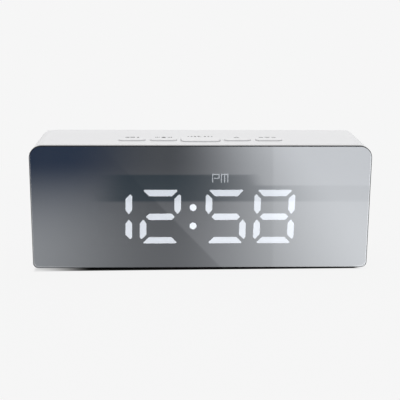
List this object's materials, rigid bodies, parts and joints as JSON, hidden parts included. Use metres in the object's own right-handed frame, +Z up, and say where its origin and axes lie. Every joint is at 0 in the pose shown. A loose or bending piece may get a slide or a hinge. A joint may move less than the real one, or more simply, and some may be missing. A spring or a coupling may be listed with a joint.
{
  "type": "digital desk clock",
  "caption": "White rectangular desk clock with a half-mirror front that lit digits shine through, keys on top and a hinged battery door behind.",
  "frame": {"origin": "middle of the clock's footprint, on the surface that its feet stand on", "axes": "+X to the right as the clock is read, +Y from the mirror front to the rear cover, +Z up"},
  "size_m": [0.14, 0.038, 0.0533],
  "materials": {
    "white_casing": "satin white moulded ABS",
    "white_key": "satin white moulded ABS, a little smoother than the casing",
    "half_mirror": "half-silvered acrylic that lit digits shine through",
    "black_film": "black light-blocking film",
    "foam_tape": "black double-sided tape",
    "foot_rubber": "soft black rubber",
    "black_block": "matt black moulded light block",
    "lit_diffuser": "milky diffuser, lit cool white",
    "dark_diffuser": "smoky diffuser, unlit",
    "board_green": "green solder mask over glass laminate",
    "led_body": "white light chips with yellow phosphor",
    "screw_steel": "zinc-plated steel",
    "chip_black": "black epoxy",
    "can_metal": "bright drawn can",
    "capacitor_sleeve": "black shrink sleeve",
    "sensor_epoxy": "black epoxy bead on tinned leads",
    "switch_black": "black moulded switch base",
    "switch_steel": "stamped steel switch cover",
    "plunger_black": "black moulded plunger",
    "ribbon_grey": "grey flat cable",
    "cell_sleeve": "plain dark sleeve over a drawn can, no lettering",
    "contact_nickel": "nickel-plated spring steel",
    "socket_steel": "tin-plated steel shell",
    "tongue_black": "black moulded insulator",
    "buzzer_black": "black moulded can",
    "lead_red": "red wire insulation",
    "lead_black": "black wire insulation"
  },
  "bodies": {
    "clock": {"housing": "white_casing", "rear_cover": "white_casing", "mirror_panel": "half_mirror", "mirror_backing": "black_film", "mirror_tape": "foam_tape", "rubber_feet": "foot_rubber", "display_block": "black_block", "lit_segments": "lit_diffuser", "colon_dots": "lit_diffuser", "afternoon_mark": "lit_diffuser", "dark_segments": "dark_diffuser", "display_board": "board_green", "key_board": "board_green", "power_board": "board_green", "display_leds": "led_body", "display_screws": "screw_steel", "key_board_screws": "screw_steel", "rear_screws": "screw_steel", "power_board_screws": "screw_steel", "controller_chip": "chip_black", "driver_chips": "chip_black", "chip_resistors": "chip_black", "crystal": "can_metal", "capacitor": "capacitor_sleeve", "thermistor": "sensor_epoxy", "switch_bases": "switch_black", "switch_covers": "switch_steel", "key_ribbon": "ribbon_grey", "battery_1": "cell_sleeve", "battery_2": "cell_sleeve", "battery_3": "cell_sleeve", "positive_contact": "contact_nickel", "negative_contact": "contact_nickel", "link_contacts": "contact_nickel", "contact_springs": "contact_nickel", "power_socket": "socket_steel", "power_tongue": "tongue_black", "buzzer": "buzzer_black", "battery_leads": "lead_red", "power_leads": "lead_red", "buzzer_leads": "lead_black"},
    "mode_key": {"mode_button": "white_key", "mode_plunger": "plunger_black"},
    "alarm_key": {"alarm_button": "white_key", "alarm_plunger": "plunger_black"},
    "snooze_key": {"snooze_button": "white_key", "snooze_plunger": "plunger_black"},
    "up_key": {"up_button": "white_key", "up_plunger": "plunger_black"},
    "down_key": {"down_button": "white_key", "down_plunger": "plunger_black"},
    "door": {"battery_door": "white_casing"}
  },
  "joints": [
    {"name": "mode_press", "type": "slide", "parent": "clock", "child": "mode_key", "axis": [0, 0, -1], "range_m": [0, 0.0004], "stiffness_N_per_m": 2500},
    {"name": "alarm_press", "type": "slide", "parent": "clock", "child": "alarm_key", "axis": [0, 0, -1], "range_m": [0, 0.0004], "stiffness_N_per_m": 2500},
    {"name": "snooze_press", "type": "slide", "parent": "clock", "child": "snooze_key", "axis": [0, 0, -1], "range_m": [0, 0.0004], "stiffness_N_per_m": 2500},
    {"name": "up_press", "type": "slide", "parent": "clock", "child": "up_key", "axis": [0, 0, -1], "range_m": [0, 0.0004], "stiffness_N_per_m": 2500},
    {"name": "down_press", "type": "slide", "parent": "clock", "child": "down_key", "axis": [0, 0, -1], "range_m": [0, 0.0004], "stiffness_N_per_m": 2500},
    {"name": "door_hinge", "type": "hinge", "parent": "clock", "child": "door", "pos_m": [0, 0.0181, 0.0099], "axis": [-1, 0, 0], "range_deg": [0, 95]}
  ]
}
